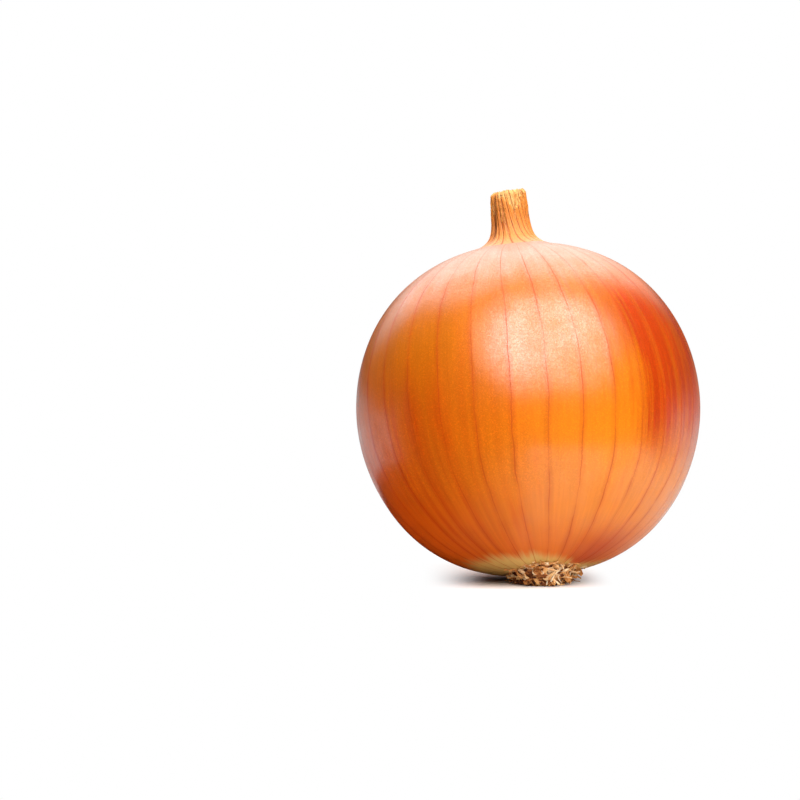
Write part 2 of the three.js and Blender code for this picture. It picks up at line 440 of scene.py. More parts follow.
# %% [markdown]
# ## The bulb
# The bulb is a globe that is a little flat at the shoulder and fuller towards the root. Each half of its
# outline is a superellipse, (r / R)^p + (z / H)^q = 1. Turning a lathe profile would give a perfect ball, so
# the columns follow the veins instead: they are unevenly spaced, they sway, and each stands up as a low
# ridge. Low waves make the skin catch the light unevenly, as dry skin does. At the top the skin ends in a
# papery collar, which climbs the foot of the neck. At the bottom the veins meet at the root plate, which
# lies a little in front of the axis.

# %% The bulb's outline
SHOULDER = {"rise": 38.4 * MM, "radius_power": 2.23, "height_power": 2.04}
BASE = {"rise": 39.1 * MM, "radius_power": 2.37, "height_power": 1.93}
NECK_FOOT_RADIUS = 11.9 * MM
SEAT_DEPTH = 5.5 * MM


def outline(angle, half):
    """Radius R cos(a)^(2/p) and height H sin(a)^(2/q), for angles from the widest level to the pole."""
    radius = BULB_RADIUS * np.cos(angle) ** (2 / half["radius_power"])
    height = half["rise"] * np.sin(angle) ** (2 / half["height_power"])
    return radius, height


def outline_height(radius, half):
    """The height at which a half of the outline has narrowed to a radius: H (1 - (r / R)^p)^(1/q)."""
    share = np.clip(np.asarray(radius) / BULB_RADIUS, 0, 1)
    return half["rise"] * (1 - share ** half["radius_power"]) ** (1 / half["height_power"])


NECK_FOOT = float(outline_height(NECK_FOOT_RADIUS, SHOULDER))
print("neck foot at", round(NECK_FOOT / MM, 2), "mm above the widest level")

# %% The way up to the neck
NECK_RADIUS = 4.65 * MM
NECK_TOP = 51.4 * MM
NECK_HEIGHT = NECK_TOP - NECK_FOOT
FLARE_FALL = 1.55 * MM
NECK_TAPER = 0.6 * MM
NECK_BEND = 0.5 * MM


def stalk_radius(above):
    """The neck's radius at heights above its foot: a tapering stalk and a flare that dies out as e^-h."""
    flare = (NECK_FOOT_RADIUS - NECK_RADIUS) * np.exp(-above / FLARE_FALL)
    return NECK_RADIUS + flare - NECK_TAPER * above / NECK_HEIGHT


def stalk_growth(above):
    """0 at the neck's foot and near 1 up on the stalk. The neck's bend and its ribs grow with it."""
    return 1 - np.exp(-above / (2 * FLARE_FALL))


def waves(angles, terms):
    """A sum of sines round the onion, each of a count, a height in mm and a start."""
    return sum(height * MM * np.sin(count * angles + start) for count, height, start in terms)


print("neck:", round(NECK_HEIGHT / MM, 1), "mm tall")

# %% The veins' places
VEIN_COUNT = 32
VEIN_START = math.radians(-110)
VEIN_UNEVENNESS = 0.22
VEIN_SWAY = 0.025
VEIN_TWIST = -0.1
GORE_COLUMNS = 12


def vein_angle(vein):
    """Even steps round the bulb that close up and open out twice in a turn."""
    step = 2 * math.pi / VEIN_COUNT
    return VEIN_START + step * (vein + VEIN_UNEVENNESS * np.sin(2 * step * (vein + 0.5)))


def skin_angles(places, heights):
    """The angle of each column, whose place is counted in veins, at each height. It sways as it climbs, and
    above the widest level it twists a little to the left."""
    vein = np.floor(places)
    share = places - vein
    straight = (1 - share) * vein_angle(vein) + share * vein_angle(vein + 1)
    sway = VEIN_SWAY * np.sin(2.5 * heights / BULB_RADIUS)[:, None] * np.sin(3 * straight)
    twist = VEIN_TWIST * (np.maximum(heights, 0) / NECK_FOOT) ** 2
    return straight + sway + twist[:, None]


print("vein spacing at the widest level:", round(2 * math.pi * 40 / VEIN_COUNT, 1), "mm")

# %% The skin's surface
BASE_ROWS = 96
SHOULDER_ROWS = 96
RIDGE_HEIGHT = 0.05 * MM
RIDGE_SHARPNESS = 6
SKIN_WAVES = [
    (2, 1.3, 0.10, 0.3),
    (3, -2.1, 0.10, 1.9),
    (5, 3.7, 0.07, 4.0),
    (9, -5.3, 0.05, 2.2),
    (13, 7.1, 0.035, 5.1),
]


def skin_relief(angles, heights, places):
    """How far the skin stands out: a ridge at each vein that fades towards both ends, and low waves."""
    along = (heights + BASE["rise"]) / (NECK_FOOT + BASE["rise"])
    fade = np.sin(math.pi * np.clip(along, 0, 1))[:, None]
    relief = RIDGE_HEIGHT * (0.5 + 0.5 * np.cos(2 * math.pi * places)) ** RIDGE_SHARPNESS
    for round_count, climb, height, start in SKIN_WAVES:
        climbing = climb * heights[:, None] / BULB_RADIUS
        relief = relief + height * MM * np.sin(round_count * angles + climbing + start)
    return fade * relief


def skin_profile():
    """Radii and heights of the globe's rows, from beside the root pole up to the neck's foot."""
    climbing = np.linspace(1, 0, BASE_ROWS, endpoint=False)[1:] * math.pi / 2
    base_radius, base_height = outline(climbing, BASE)
    foot_angle = math.acos((NECK_FOOT_RADIUS / BULB_RADIUS) ** (SHOULDER["radius_power"] / 2))
    top_radius, top_height = outline(np.linspace(0, foot_angle, SHOULDER_ROWS), SHOULDER)
    return np.concatenate([base_radius, top_radius]), np.concatenate([-base_height, top_height])


print("globe:", len(skin_profile()[0]), "rows of", VEIN_COUNT * GORE_COLUMNS, "points")


# %% The skin's globe, collar and seat
ROOT_FORWARD = 3.5 * MM
SLIDE_START = 0.3
COLLAR_RISE = 1.25 * MM
COLLAR_TILT = 0.4 * MM
COLLAR_DIP = 0.8 * MM
COLLAR_LIFT = 0.15 * MM
COLLAR_ROWS = 16
COLLAR_WAVES = [(5, 0.05, 1.0), (11, 0.05, 0.2), (23, 0.04, 2.0)]
SEAT_SHARES = [0.95, 0.7, 0.4, 0.1]


def around(angles, reach, heights):
    """Points at angles, reaches and heights about the onion's own axis."""
    return np.stack([reach * np.cos(angles), reach * np.sin(angles), heights + 0 * angles], -1)


def globe_rows(places):
    """The rows of the globe, moved out by the relief.

    Towards the root they slide forwards on it, so that the veins meet at the root plate."""
    radii, heights = skin_profile()
    angles = skin_angles(places, heights)
    plain = around(angles, radii[:, None], heights[:, None])
    rows = around(angles, radii[:, None] + skin_relief(angles, heights, places), heights[:, None])
    slide = ROOT_FORWARD * smoothstep(SLIDE_START, 1.0, -heights / BASE["rise"])[:, None]
    low = heights < 0
    rows[..., 1] -= slide
    slid = np.hypot(plain[low, :, 0], plain[low, :, 1] - slide[low])
    rows[low, :, 2] = -outline_height(slid, BASE)
    return rows, angles[-1]


def collar_rows(angles):
    """The papery upper end of the skin, which climbs the neck's flare to an uneven edge, lowest in front."""
    share = np.linspace(0, 1, COLLAR_ROWS)[1:, None]
    edge = COLLAR_RISE + COLLAR_TILT * np.cos(angles) + COLLAR_DIP * np.sin(angles)
    above = share * (edge + waves(angles, COLLAR_WAVES))
    rows = around(angles + 0 * share, stalk_radius(above) + COLLAR_LIFT * share, NECK_FOOT + above)
    rows[..., 0] -= NECK_BEND * stalk_growth(above)
    return rows


def skin_mesh():
    """Rings up the globe and the collar, then down into the seat under the neck, stood on the ground."""
    places = np.arange(VEIN_COUNT * GORE_COLUMNS + 1) / GORE_COLUMNS
    globe, angles = globe_rows(places[:-1])
    collar = collar_rows(angles)
    start = np.array([0, -ROOT_FORWARD, -outline_height(ROOT_FORWARD, BASE)])
    end = np.array([0, 0, NECK_FOOT - SEAT_DEPTH])
    seat = end + (collar[-1] - end) * np.array(SEAT_SHARES)[:, None, None]
    rings = stood(np.concatenate([globe, collar, seat]))
    steps = np.linalg.norm(np.diff(rings, axis=0), axis=-1).mean(axis=1)
    first = np.linalg.norm(globe[0] - start, axis=-1).mean()
    levels = first + np.concatenate([[0], np.cumsum(steps)])
    length = levels[-1] + first
    mesh = closed_body("bulb_skin", rings, stood(start), stood(end), places / VEIN_COUNT, levels / length)
    gore = GORE_COLUMNS * np.linalg.norm(rings - np.roll(rings, -1, axis=1), axis=-1)
    add_values(mesh, "gore", np.concatenate([gore.ravel(), [0, 0]]) / MM)
    add_values(mesh, "climb", np.concatenate([np.repeat(levels, len(angles)), [0, length]]) / MM)
    return mesh, length


bulb_mesh, skin_length = skin_mesh()
print("skin from root to seat:", round(skin_length / MM, 1), "mm")

# %% [markdown]
# ## The skin's finish
# Dry onion skin is a satin film: yellow-orange low down, deeper towards the shoulder, redder in a few bands,
# and straw-coloured round the root. Fine red-brown veins run from root to neck, stronger in some places than
# others, with fainter lines between them. The film has a fine grain that breaks up the gloss, and long soft
# streaks. All of it is worked out from the piece's own map, so that the lines follow the veins of the mesh.

# %% The skin's patterns
SKIN_STREAKS = {
    "streak": (12.0, 0.045, 4.0),
    "fine_streak": (60.0, 0.06, 3.0),
    "broad_streak": (22.0, 0.02, 2.0),
    "wander": (3.0, 0.12, 4.0),
}
SKIN_NOISES = {
    "blotch": (60.0, 4.0),
    "cloud": (110.0, 3.0),
    "grain": (2800.0, 2.0, 1.2),
}
GRAIN_START = (26.0, 48.0)
TOP_SHEEN_START = (90.0, 108.0)


def skin_patterns(skin):
    """Where a point of the skin lies, as a share of a turn, an angle and a climb in mm, and noises there.

    A streak has a fineness round the bulb, a stretch along it and a detail. It is a noise on a circle, so it
    closes without a seam. Any other noise has a fineness in a metre, a detail and a distortion."""
    across = skin.split(skin.node("ShaderNodeUVMap", {"uv_map": UV_NAME}).outputs[0])[0]
    climb = skin.attribute("climb")
    place = skin.place()
    turn = across * (2 * math.pi)
    cosine = skin.math("COSINE", turn)
    sine = skin.math("SINE", turn)
    at = SimpleNamespace(across=across, turn=turn, climb=climb)
    for name, (fineness, stretch, detail) in SKIN_STREAKS.items():
        on_circle = skin.vector(cosine * fineness, sine * fineness, climb * stretch)
        setattr(at, name, skin.noise(on_circle, 1.0, detail))
    for name, settings in SKIN_NOISES.items():
        setattr(at, name, skin.noise(place, *settings))
    at.wavy = turn + (at.blotch - 0.5) * 0.35
    at.grainy = skin.smooth(climb, *GRAIN_START)
    # How far up the pale top a point is. The pale colour there is a painted sheen of the overhead light.
    at.dusty = skin.smooth(climb + (at.streak - 0.5) * 16, *TOP_SHEEN_START)
    return at


print("skin patterns:", *SKIN_STREAKS, *SKIN_NOISES)

# %% The veins on the skin
VEIN_WIDTH = 0.15
HALO_WIDTH = 1.3
LINES_IN_A_GORE = 5


def skin_veins(skin, at):
    """How much of a vein, of the redder skin beside it and of a fainter line a point has, from 0 to 1 each.

    The strength comes and goes along each vein and each line."""
    counted = at.across * VEIN_COUNT + 0.16 * (at.wander - 0.5)
    nearest = skin.math("ROUND", counted)
    from_vein = skin.math("ABSOLUTE", counted - nearest) * skin.attribute("gore")
    strength = skin.noise(skin.vector(nearest * 3.7, at.climb * 0.07, 0.0), 1.0, 3.0)
    strength = 0.35 + 0.65 * skin.smooth(strength, 0.3, 0.62)
    vein = strength * skin.smooth(from_vein, VEIN_WIDTH * (0.6 + 0.6 * strength), 0.02)
    halo = strength * skin.smooth(from_vein, HALO_WIDTH, 0.0)

    lines = at.across * (VEIN_COUNT * LINES_IN_A_GORE) + 0.6 * (at.wander - 0.5)
    number = skin.math("FLOOR", lines)
    off_middle = skin.math("ABSOLUTE", lines - number - 0.5)
    line_strength = skin.noise(skin.vector(number * 5.3, at.climb * 0.05, 4.0), 1.0, 2.0)
    line = skin.smooth(line_strength, 0.5, 0.75) * skin.smooth(off_middle, 0.14, 0.0)
    return vein, halo, line


print("veins and lines:", VEIN_COUNT, "and", VEIN_COUNT * LINES_IN_A_GORE)

# %% The redder bands
EMBER_BANDS = [(180, 30, 0.8), (278, 40, 0.9)]
# Painted shade: low at the left the skin is made darker and redder.
PAINTED_SHADE_LOW_LEFT = (340, 16, 0.5)
EMBER_EDGE = math.radians(56)
EMBER_NEAR_ROOT = (66, 4, 0.75, 2)


def lobe(skin, angle, centre, sharpness, strength, times=1):
    """The strength at an angle round the bulb, falling to 0 on both sides: ((1 + cos) / 2)^sharpness."""
    away = (angle - math.radians(centre)) * times
    return strength * (0.5 + 0.5 * skin.math("COSINE", away)) ** sharpness


def front_band(skin, at):
    """The broad band at the front right, from a frayed edge on its left to a soft one on its right."""
    frayed = at.turn + (at.streak - 0.5) * 0.3 + (at.fine_streak - 0.5) * 0.12
    high = skin.smooth(at.climb, 66.0, 80.0)
    spread = 0.5 * skin.smooth(at.wavy, EMBER_EDGE - 0.35, EMBER_EDGE) * high
    left = skin.smooth(frayed, EMBER_EDGE - 0.05, EMBER_EDGE + 0.12) + spread
    return skin.math("MINIMUM", left, 1.0) * skin.smooth(at.wavy, EMBER_EDGE + 1.2, EMBER_EDGE + 0.6)


def skin_redness(skin, at, near_root):
    """How red the skin is: bands up high, painted shade low at the left, a patch at the root, and streaks.
    """
    band = front_band(skin, at) + sum(lobe(skin, at.wavy, *each) for each in EMBER_BANDS)
    band = band * skin.smooth(at.climb, 38.0, 60.0) * skin.smooth(at.climb, 97.0, 80.0)
    painted_shade_low_left = lobe(skin, at.wavy, *PAINTED_SHADE_LOW_LEFT) * skin.smooth(at.climb, 80.0, 60.0)
    streaky = 0.65 + 0.5 * skin.smooth(at.broad_streak, 0.3, 0.7) + 0.5 * (at.fine_streak - 0.5)
    redness = (band + painted_shade_low_left) * streaky + near_root + skin.smooth(at.streak, 0.55, 0.8) * 0.25
    return skin.math("MINIMUM", redness, 1.0)


print("red bands:", 1 + len(EMBER_BANDS))

# %% The skin's colours
ROOT_RING = 13.5
RING_BULGE = (-50, 2, 3.5)
STRAW = (0.74, 0.48, 0.14, 1)
EMBER = (0.46, 0.040, 0.001, 1)
VEIN_BROWN = (0.46, 0.055, 0.002, 1)
TOP_SHEEN_PALE = (0.46, 0.28, 0.21, 1)
SKIN_COLOURS = [
    (0.14, (0.80, 0.18, 0.008, 1)),
    (0.24, (0.80, 0.22, 0.010, 1)),
    (0.34, (0.76, 0.21, 0.007, 1)),
    (0.46, (0.70, 0.17, 0.003, 1)),
    (0.58, (0.58, 0.14, 0.002, 1)),
    (0.74, (0.52, 0.12, 0.002, 1)),
]


def skin_colour(skin, at, vein, halo, line):
    """Colour by the height on the skin, then red bands, straw ring, painted sheen on top, streaks and veins.
    """
    share = at.climb / (skin_length / MM) + (at.blotch - 0.5) * 0.1
    colour = skin.ramp(SKIN_COLOURS, share)
    at_root = skin.smooth(at.climb, 30.0, 18.0) * skin.smooth(at.climb, 5.0, 12.0)
    near_root = lobe(skin, at.wavy, *EMBER_NEAR_ROOT) * at_root
    colour = skin.mix(colour, EMBER, skin_redness(skin, at, near_root))
    colour = skin.mix(colour, EMBER, halo * 0.3)
    bulge = lobe(skin, at.wavy, *RING_BULGE)
    from_ring = at.climb + (at.streak - 0.5) * 8 - bulge + 6 * near_root
    colour = skin.mix(colour, STRAW, skin.smooth(from_ring, ROOT_RING + 3.0, ROOT_RING - 2.0))
    # Painted sheen: the pale colour at the top stands in for the overhead light on the shoulder.
    colour = skin.mix(colour, TOP_SHEEN_PALE, at.dusty * 0.9)
    colour = skin.brighten(colour, 0.84 + 0.32 * at.streak)
    colour = skin.brighten(colour, 0.9 + 0.2 * at.fine_streak)
    speck = skin.smooth(at.grain, 0.42, 0.72) * at.grainy
    colour = skin.brighten(colour, 0.94 + 0.3 * speck)
    colour = skin.mix(colour, VEIN_BROWN, line * 0.25 * (1 - at.dusty))
    return skin.mix(colour, VEIN_BROWN, vein * (0.85 - 0.6 * at.dusty))


# %% The skin's material
GRAIN_RELIEF = 0.05 * MM
STREAK_RELIEF = 0.05 * MM
FINE_STREAK_RELIEF = 0.02 * MM
GLOSS_START = (10.0, 34.0)


def skin_material():
    """A satin film with a thin gloss, which the grain, the veins and the painted sheen on the top break up.
    """
    material, skin = new_material("onion_skin")
    at = skin_patterns(skin)
    vein, halo, line = skin_veins(skin, at)
    relief = at.grain * at.grainy * GRAIN_RELIEF
    relief = relief + at.fine_streak * FINE_STREAK_RELIEF + at.streak * STREAK_RELIEF
    gloss = (0.45 + 0.55 * skin.smooth(at.grain, 0.36, 0.66)) * (1 - 0.8 * vein) * (1 - 0.7 * at.dusty)
    gloss = gloss * (0.6 + 0.55 * skin.smooth(at.cloud, 0.35, 0.65)) * skin.smooth(at.climb, *GLOSS_START)
    sockets = {
        "Base Color": skin_colour(skin, at, vein, halo, line),
        "Roughness": 0.3 + 0.1 * at.blotch + 0.3 * vein + 0.25 * at.dusty,
        "IOR": 1.45,
        "Specular IOR Level": 0.2,
        "Normal": skin.bump(relief),
        "Coat Weight": gloss,
        "Coat Roughness": 0.2,
        "Coat IOR": 1.75,
    }
    skin.end_material(skin.node("ShaderNodeBsdfPrincipled", {}, sockets))
    return material


bulb = add_piece(bulb_mesh, skin_material())
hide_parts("bulb")

# %% [markdown]
# ## The neck
# The neck is what is left of the leaves: papery sheaths drawn together, dried and cut off. Their fibres are
# the ribs and grooves that run up it and splay where it flares out on to the shoulder. At the front right
# the outermost sheath is torn, and a paler one shows. The cut end is ragged, and the sheaths' edges stand in
# one another there. A twisted cloth would need a simulation, and a formula does: one function gives any
# point of the neck's side, so loose fibres can start from it too.

# %% The neck's side
RIB_COUNT = 24
RIB_HEIGHT = 0.42 * MM
FINE_RIB_COUNT = 62
FINE_RIB_HEIGHT = 0.12 * MM
RIB_TWIST = 0.035 / MM
RIB_WANDER = 0.06
FOLD = {"angle": math.radians(208), "half_width": 0.2, "depth": 0.9 * MM}
TEAR = {"angle": math.radians(-76), "depth": 4.2 * MM, "sharpness": 5, "step": 0.25 * MM}
TORN_BELOW_CUT = 0.5 * MM
CUT_SLANT = (0.07, 0.10)
CUT_REACH = 4 * MM
RAGGED_WAVES = [(3, 0.06, 0.4), (7, 0.06, 1.1), (16, 0.05, 2.0), (29, 0.05, 0.3), (47, 0.04, 4.4)]
TORN_WAVES = [(7, 0.36, 1.1), (16, 0.30, 2.0), (29, 0.24, 0.3), (47, 0.18, 4.4)]
RIM_ROUNDING = 0.7 * MM
RIM_REACH = 1.0 * MM


def ribs(angles, above):
    """Rounded ribs with sharp grooves between them, |sin|, that twist a little as they climb."""
    way = angles + RIB_TWIST * above + RIB_WANDER * np.sin(3 * angles + 1)
    return np.abs(np.sin(RIB_COUNT / 2 * way)) ** 0.7, np.abs(np.sin(FINE_RIB_COUNT / 2 * way + 0.7))


def torn(angles, above):
    """1 where the outermost sheath is gone: above a ragged edge that dips at the front right."""
    dip = np.exp(TEAR["sharpness"] * (np.cos(angles - TEAR["angle"]) - 1))
    edge = NECK_HEIGHT - TORN_BELOW_CUT - TEAR["depth"] * dip + waves(angles, TORN_WAVES)
    return smoothstep(edge, edge + TEAR["step"], above)


def neck_side(angles, above):
    """Points of the neck's side at heights above its foot, about the onion's own axis."""
    grown = stalk_growth(above)
    coarse, fine = ribs(angles, above)
    uneven = 0.65 + 0.35 * np.cos(3 * angles + 1)
    relief = RIB_HEIGHT * uneven * (coarse - 0.65) + FINE_RIB_HEIGHT * (fine - 0.6)
    fold = FOLD["depth"] * np.exp(-(((angles - FOLD["angle"]) / FOLD["half_width"]) ** 2))
    rounding = RIM_ROUNDING * np.clip(1 - (NECK_HEIGHT - above) / RIM_REACH, 0, 1) ** 2
    radius = stalk_radius(above) - rounding
    radius = radius + grown * (relief - fold) - TEAR["step"] * torn(angles, above)
    x, y = radius * np.cos(angles), radius * np.sin(angles)
    near_cut = smoothstep(NECK_HEIGHT - CUT_REACH, NECK_HEIGHT, above)
    slant = CUT_SLANT[0] * x + CUT_SLANT[1] * y
    lift = near_cut * (slant + waves(angles, RAGGED_WAVES))
    return np.stack([x - NECK_BEND * grown, y, NECK_FOOT + above + lift], -1)


print("neck rim:", round(stalk_radius(NECK_HEIGHT) / MM, 1), "mm")

# %% The neck's surface
NECK_START = 0.2 * MM
NECK_COLUMNS = 384
NECK_ROWS = 96
CUT_ROWS = 34
CUT_DEPTH = 1.5 * MM
SHEATH_COUNT = 4.5
SHEATH_DROP = 0.7 * MM
# A dark brown patch at the front left of the neck.
BROWN_PATCH = {"angle": math.radians(246), "half_width": 0.2, "above": 7.0 * MM, "half_height": 2.4 * MM}
# A slit painted as a dark line of shade. The side has no slit in its relief.
SLIT_PAINTED_SHADE = {"angle": math.radians(326), "half_width": 0.06, "above": 9.0 * MM, "half_height": 1.6 * MM}
FOLD_SHADE = {"angle": math.radians(209), "half_width": 0.17, "above": 7.5 * MM, "half_height": 4.5 * MM}


def spot(angles, above, mark):
    """A soft mark on the neck's side: e^-(a^2 + h^2), of the angle and the height away from its middle."""
    across = (angles - mark["angle"]) / mark["half_width"]
    along = (above - mark["above"]) / mark["half_height"]
    return np.exp(-(across**2) - along**2)


def neck_mesh():
    """Rings up the side, then inwards over the cut sheaths, which stand in one another as ridges."""
    turns = np.arange(NECK_COLUMNS + 1) / NECK_COLUMNS
    angles = 2 * math.pi * turns[None, :-1]
    even = np.linspace(0, 1, NECK_ROWS)
    eased = even - 0.1 * np.sin(2 * math.pi * even)
    above = NECK_START + (NECK_HEIGHT - NECK_START) * eased[:, None]
    side = neck_side(angles, above)

    share = np.linspace(0.97, 0.02, CUT_ROWS)[:, None]
    middle = side[-1].mean(axis=0)
    layer = share * SHEATH_COUNT + 0.35 * np.sin(2 * angles + 0.7) + 0.25 * np.sin(3 * angles + 2.1)
    crest = np.abs(np.cos(math.pi * layer)) ** 1.5
    drop = CUT_DEPTH * (1 - share) ** 0.8 + SHEATH_DROP * (1 - crest) * (1 - share**8)
    cut = middle + (side[-1] - middle) * share[..., None]
    cut[..., 2] -= drop

    rings = np.concatenate([side, cut])
    steps = np.linalg.norm(np.diff(rings, axis=0), axis=-1).mean(axis=1)
    levels = (1 + np.concatenate([[0], np.cumsum(steps)]) / MM) / (2 + steps.sum() / MM)
    start = np.array([0, 0, NECK_FOOT - SEAT_DEPTH])
    end = cut[-1].mean(axis=0)
    mesh = closed_body("neck_sheaths", stood(rings), stood(start), stood(end), turns, levels)
    groove = 1 - ribs(angles, above)[0]
    rise = above / NECK_HEIGHT + 0 * angles
    for name, on_side, on_cut in [
        ("groove", groove, 1 - crest),
        ("torn", torn(angles, above), 0 * crest),
        ("stain", spot(angles, above, BROWN_PATCH), 0 * crest),
        ("fold", spot(angles, above, FOLD_SHADE) + spot(angles, above, SLIT_PAINTED_SHADE), 0 * crest),
        ("rise", rise, 1 + 0 * crest),
        ("cut", 0 * rise, 1 + 0 * crest),
    ]:
        add_values(mesh, name, np.concatenate([on_side.ravel(), on_cut.ravel(), [0, 0]]))
    return mesh


print("neck:", NECK_ROWS + CUT_ROWS, "rows of", NECK_COLUMNS, "points")

# %% The sheaths' material
SHEATH_COLOURS = [
    (0.0, (0.80, 0.32, 0.15, 1)),
    (0.2, (0.72, 0.24, 0.05, 1)),
    (0.6, (0.68, 0.20, 0.015, 1)),
    (1.0, (0.70, 0.25, 0.035, 1)),
]
GROOVE_PAINTED_SHADE = (0.22, 0.045, 0.003, 1)
TORN_CREAM = (0.74, 0.40, 0.12, 1)
STAIN_AND_SHADE_BROWN = (0.34, 0.070, 0.003, 1)
FOLD_PAINTED_SHADE = (0.09, 0.012, 0.002, 1)
FIBRES = (2600, 2600, 260)
PATCHES = (420, 420, 200)
FIBRE_RELIEF = 0.12 * MM


def sheath_material():
    """Matt, fibrous paper: golden, cream where torn, brown in patches, and painted shade in grooves, fold
    and slit.
    """
    material, sheath = new_material("dry_sheath")
    groove = sheath.attribute("groove")
    rise = sheath.attribute("rise")
    place = sheath.split(sheath.place())

    def stretched(fineness):
        return sheath.noise(sheath.vector(*[part * each for part, each in zip(place, fineness)]), 1.0, 3.0)

    fibre = stretched(FIBRES)
    patch = stretched(PATCHES)
    colour = sheath.ramp(SHEATH_COLOURS, rise)
    colour = sheath.mix(colour, TORN_CREAM, sheath.attribute("torn") * sheath.smooth(patch, 0.25, 0.55))
    stain = sheath.smooth(patch, 0.56, 0.78) * sheath.smooth(rise, 0.1, 0.5) * 0.6
    stain = sheath.math("MAXIMUM", stain, sheath.attribute("stain") * 0.8)
    colour = sheath.mix(colour, STAIN_AND_SHADE_BROWN, stain)
    colour = sheath.mix(colour, TORN_CREAM, sheath.smooth(fibre, 0.55, 0.75) * 0.4)
    # Painted shade, darker where the grooves are deep, on the side and between the cut sheaths.
    painted_groove_shade = sheath.smooth(groove + (fibre - 0.5) * 0.7, 0.35, 0.9)
    colour = sheath.mix(colour, GROOVE_PAINTED_SHADE, painted_groove_shade * 0.8)
    # Painted shade in the fold, and the painted dark slit.
    colour = sheath.mix(colour, FOLD_PAINTED_SHADE, sheath.attribute("fold"))
    # Painted shade in the troughs between the cut sheaths' edges.
    colour = sheath.mix(colour, STAIN_AND_SHADE_BROWN, sheath.attribute("cut") * groove * 0.8)
    normal = sheath.bump(fibre * FIBRE_RELIEF)
    sockets = {"Base Color": colour, "Roughness": 0.6, "IOR": 1.45, "Normal": normal}
    sheath.end_material(sheath.node("ShaderNodeBsdfPrincipled", {}, sockets))
    return material


neck = add_piece(neck_mesh(), sheath_material())
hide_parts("neck")

# %% [markdown]
# ## Loose strips
# Torn fibres on the neck and trimmed roots on the tuft are both thin, flat strips that bend. A strip is a
# path with four corners at each step of it, and a closed end at both ends. Hundreds of them are one mesh,
# and each carries a shade of its own.

# %% Flat strips along paths


def strips(name, paths, sides, half_widths, half_thickness, shades):
    """One mesh of closed strips.

    Paths are shaped (strips, steps, 3). Sides, shaped (strips, 1, 3), point across each strip, and half
    widths, shaped (strips, steps), taper it."""
    count, steps = paths.shape[:2]
    along = np.gradient(paths, axis=1)
    normals = np.cross(along, np.broadcast_to(sides, paths.shape))
    normals = normals / np.linalg.norm(normals, axis=-1, keepdims=True)
    across = sides * half_widths[..., None]
    through = normals * np.asarray(half_thickness)[..., None]
    corners = [paths + across + through, paths - across + through]
    corners += [paths - across - through, paths + across - through]
    points = np.stack(corners, 2)

    first = np.arange(count)[:, None, None] * steps * 4
    step = np.arange(steps - 1)[None, :, None] * 4
    corner = np.arange(4)[None, None, :]
    here, there = first + step + corner, first + step + (corner + 1) % 4
    sides_of = np.stack([here, there, there + 4, here + 4], -1).reshape(-1, 4)
    near_ends = first[:, 0] + np.array([[3, 2, 1, 0]])
    far_ends = first[:, 0] + (steps - 1) * 4 + np.array([[0, 1, 2, 3]])
    mesh = bpy.data.meshes.new(name)
    faces = np.concatenate([sides_of, near_ends, far_ends])
    mesh.from_pydata(points.reshape(-1, 3).tolist(), [], faces.tolist())
    add_values(mesh, "shade", np.repeat(shades, steps * 4))
    return mesh


# %% Torn fibres on the neck
FIBRE_COUNT = 64
FIBRE_STEPS = 6
FIBRE_TOPS = (-5.0, -0.2)
FIBRE_LENGTHS = (1.5, 4.5)
FIBRE_LEAN = 0.08
FIBRE_LIFTS = (0.0, 0.25)
FIBRE_CLEARANCE = 0.03 * MM
FIBRE_WIDTHS = (0.06, 0.16)
FIBRE_THICKNESS = 0.04 * MM


def neck_fibres():
    """Fibres that follow the side up to where they are torn, and lift off it towards their tips."""
    draw = np.random.default_rng(11)
    angle = draw.uniform(0, 2 * math.pi, (FIBRE_COUNT, 1))
    top = NECK_HEIGHT + draw.uniform(*FIBRE_TOPS, (FIBRE_COUNT, 1)) * MM
    length = draw.uniform(*FIBRE_LENGTHS, (FIBRE_COUNT, 1)) * MM
    lean = draw.normal(0, FIBRE_LEAN, (FIBRE_COUNT, 1))
    lift = draw.uniform(*FIBRE_LIFTS, (FIBRE_COUNT, 1)) * MM
    share = np.linspace(0, 1, FIBRE_STEPS)[None, :]
    above = top - length * (1 - share)
    swept = angle + lean * share**2
    outwards = np.stack([np.cos(swept), np.sin(swept), 0 * swept], -1)
    paths = neck_side(swept, above) + outwards * (FIBRE_CLEARANCE + lift * share**2)[..., None]
    sides = np.stack([-np.sin(angle), np.cos(angle), 0 * angle], -1)
    widths = draw.uniform(*FIBRE_WIDTHS, (FIBRE_COUNT, 1)) * MM * (1 - 0.6 * share**3)
    thickness = np.full((FIBRE_COUNT, 1), FIBRE_THICKNESS)
    shades = draw.uniform(0, 1, FIBRE_COUNT)
    return strips("neck_fibres", stood(paths), sides @ STANCE.T, widths, thickness, shades)


MOTTLE = (900.0, 3.0)
MOTTLE_RELIEF = 0.2 * MM


def strip_material(name, stops, roughness):
    """A matt finish whose colour is each strip's own shade, on a ramp, mottled by a fine noise."""
    material, strip = new_material(name)
    mottle = strip.noise(strip.place(), *MOTTLE)
    colour = strip.ramp(stops, strip.attribute("shade") + (mottle - 0.5) * 0.6)
    normal = strip.bump(mottle * MOTTLE_RELIEF)
    sockets = {"Base Color": colour, "Roughness": roughness, "IOR": 1.45, "Normal": normal}
    strip.end_material(strip.node("ShaderNodeBsdfPrincipled", {}, sockets))
    return material


FIBRE_COLOURS = [
    (0.0, (0.30, 0.10, 0.016, 1)),
    (0.5, (0.64, 0.25, 0.04, 1)),
    (1.0, (0.80, 0.44, 0.13, 1)),
]
add_piece(neck_fibres(), strip_material("dry_fibre", FIBRE_COLOURS, 0.6), smooth=False)

